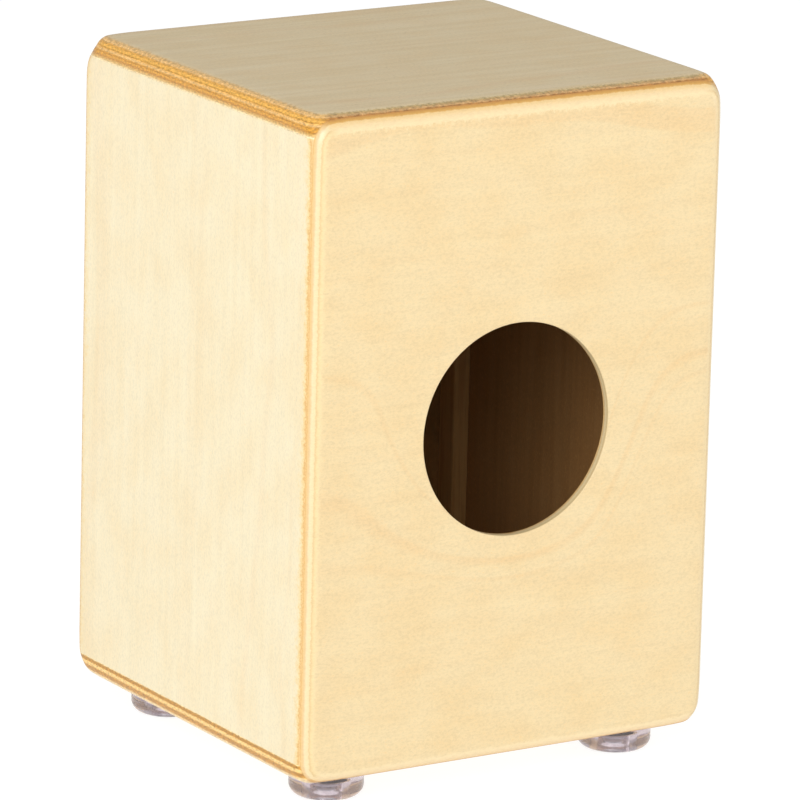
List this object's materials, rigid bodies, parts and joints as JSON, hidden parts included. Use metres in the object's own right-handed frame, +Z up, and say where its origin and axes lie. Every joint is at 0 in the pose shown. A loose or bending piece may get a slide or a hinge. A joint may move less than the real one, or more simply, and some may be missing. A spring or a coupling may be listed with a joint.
{
  "type": "cajon",
  "caption": "Small box drum of birch plywood: thick square tube, thin playing face, thin back panel with a round sound hole, inner battens and snare, on clear bumper feet.",
  "frame": {"origin": "on the floor, under the middle of the box: the lowest points of the feet are at z = 0", "axes": "+Z up; the back panel with the sound hole faces -Y, the playing face faces +Y; +X is the right side seen from the back panel, and the box is the same on both sides of X = 0"},
  "size_m": [0.15, 0.145, 0.2215],
  "materials": {
    "birch_plywood": "clear satin lacquer over sanded birch, plies showing at the cut edges",
    "softwood": "raw planed softwood",
    "clear_bumper": "clear, faintly pink soft plastic, smooth moulded",
    "zinc_steel": "bright zinc plated steel",
    "spring_steel": "bright drawn steel wire and folded strip"
  },
  "bodies": {
    "root": {"top_panel": "birch_plywood", "bottom_panel": "birch_plywood", "left_side": "birch_plywood", "right_side": "birch_plywood", "back_panel": "birch_plywood", "tapa": "birch_plywood", "batten_front_left": "softwood", "batten_front_right": "softwood", "batten_front_top": "softwood", "batten_front_bottom": "softwood", "batten_back_left": "softwood", "batten_back_right": "softwood", "foot_back_left": "clear_bumper", "foot_back_right": "clear_bumper", "foot_front_left": "clear_bumper", "foot_front_right": "clear_bumper", "foot_washers": "zinc_steel", "foot_screws": "zinc_steel", "snare_bar": "softwood", "snare_clamp": "spring_steel", "snare_strands": "spring_steel", "snare_screws": "zinc_steel"}
  },
  "joints": []
}
